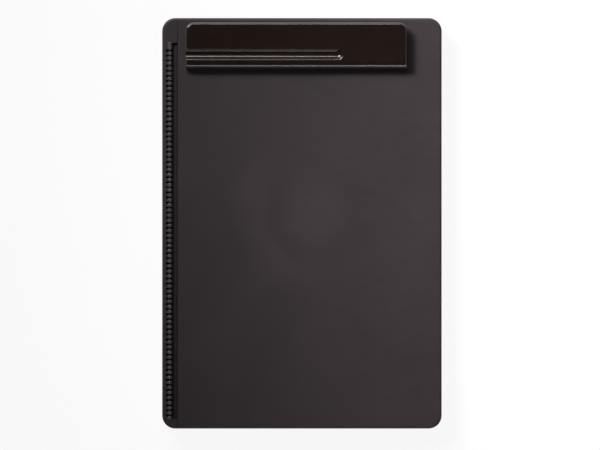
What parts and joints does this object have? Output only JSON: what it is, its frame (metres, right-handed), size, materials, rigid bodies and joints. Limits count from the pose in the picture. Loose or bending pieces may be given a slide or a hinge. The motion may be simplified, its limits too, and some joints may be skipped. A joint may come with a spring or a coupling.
{
  "type": "storage clipboard box",
  "caption": "Flat black plastic box whose hinged lid is a writing board, with a fine comb hinge along one side and a wide low sprung clip with a pen groove.",
  "frame": {"origin": "centre of the flat back that the box lies on", "axes": "+X across the board away from the hinge, +Y along the board towards the clip, +Z out of the board face"},
  "size_m": [0.2336, 0.343, 0.03],
  "materials": {
    "tray_plastic": "fine moulded texture",
    "board_plastic": "fine moulded texture",
    "clip_plastic": "polished moulding",
    "rod_steel": "drawn wire",
    "bracket_steel": "zinc plated",
    "pin_steel": "turned",
    "spring_steel": "drawn spring wire",
    "rivet_steel": "nickel plated"
  },
  "bodies": {
    "tray": {"tray_shell": "tray_plastic", "hinge_rod": "rod_steel"},
    "lid": {"lid_board": "board_plastic", "clip_bracket_left": "bracket_steel", "clip_bracket_right": "bracket_steel", "clip_pin_left": "pin_steel", "clip_pin_right": "pin_steel", "clip_spring_left": "spring_steel", "clip_spring_right": "spring_steel", "clip_rivets": "rivet_steel", "rivet_washers": "rivet_steel"},
    "clip": {"clip_lever": "clip_plastic"}
  },
  "joints": [
    {"name": "lid_hinge", "type": "hinge", "parent": "tray", "child": "lid", "pos_m": [-0.11035, 0, 0.0187], "axis": [0, -1, 0], "range_deg": [0, 180]},
    {"name": "clip_pivot", "type": "hinge", "parent": "lid", "child": "clip", "pos_m": [-0.0049, 0.1534, 0.0243], "axis": [-1, 0, 0], "range_deg": [0, 20], "stiffness_Nm_per_rad": 0.5, "springref_deg": -28.65, "deforming": ["clip_spring_left", "clip_spring_right"]}
  ]
}
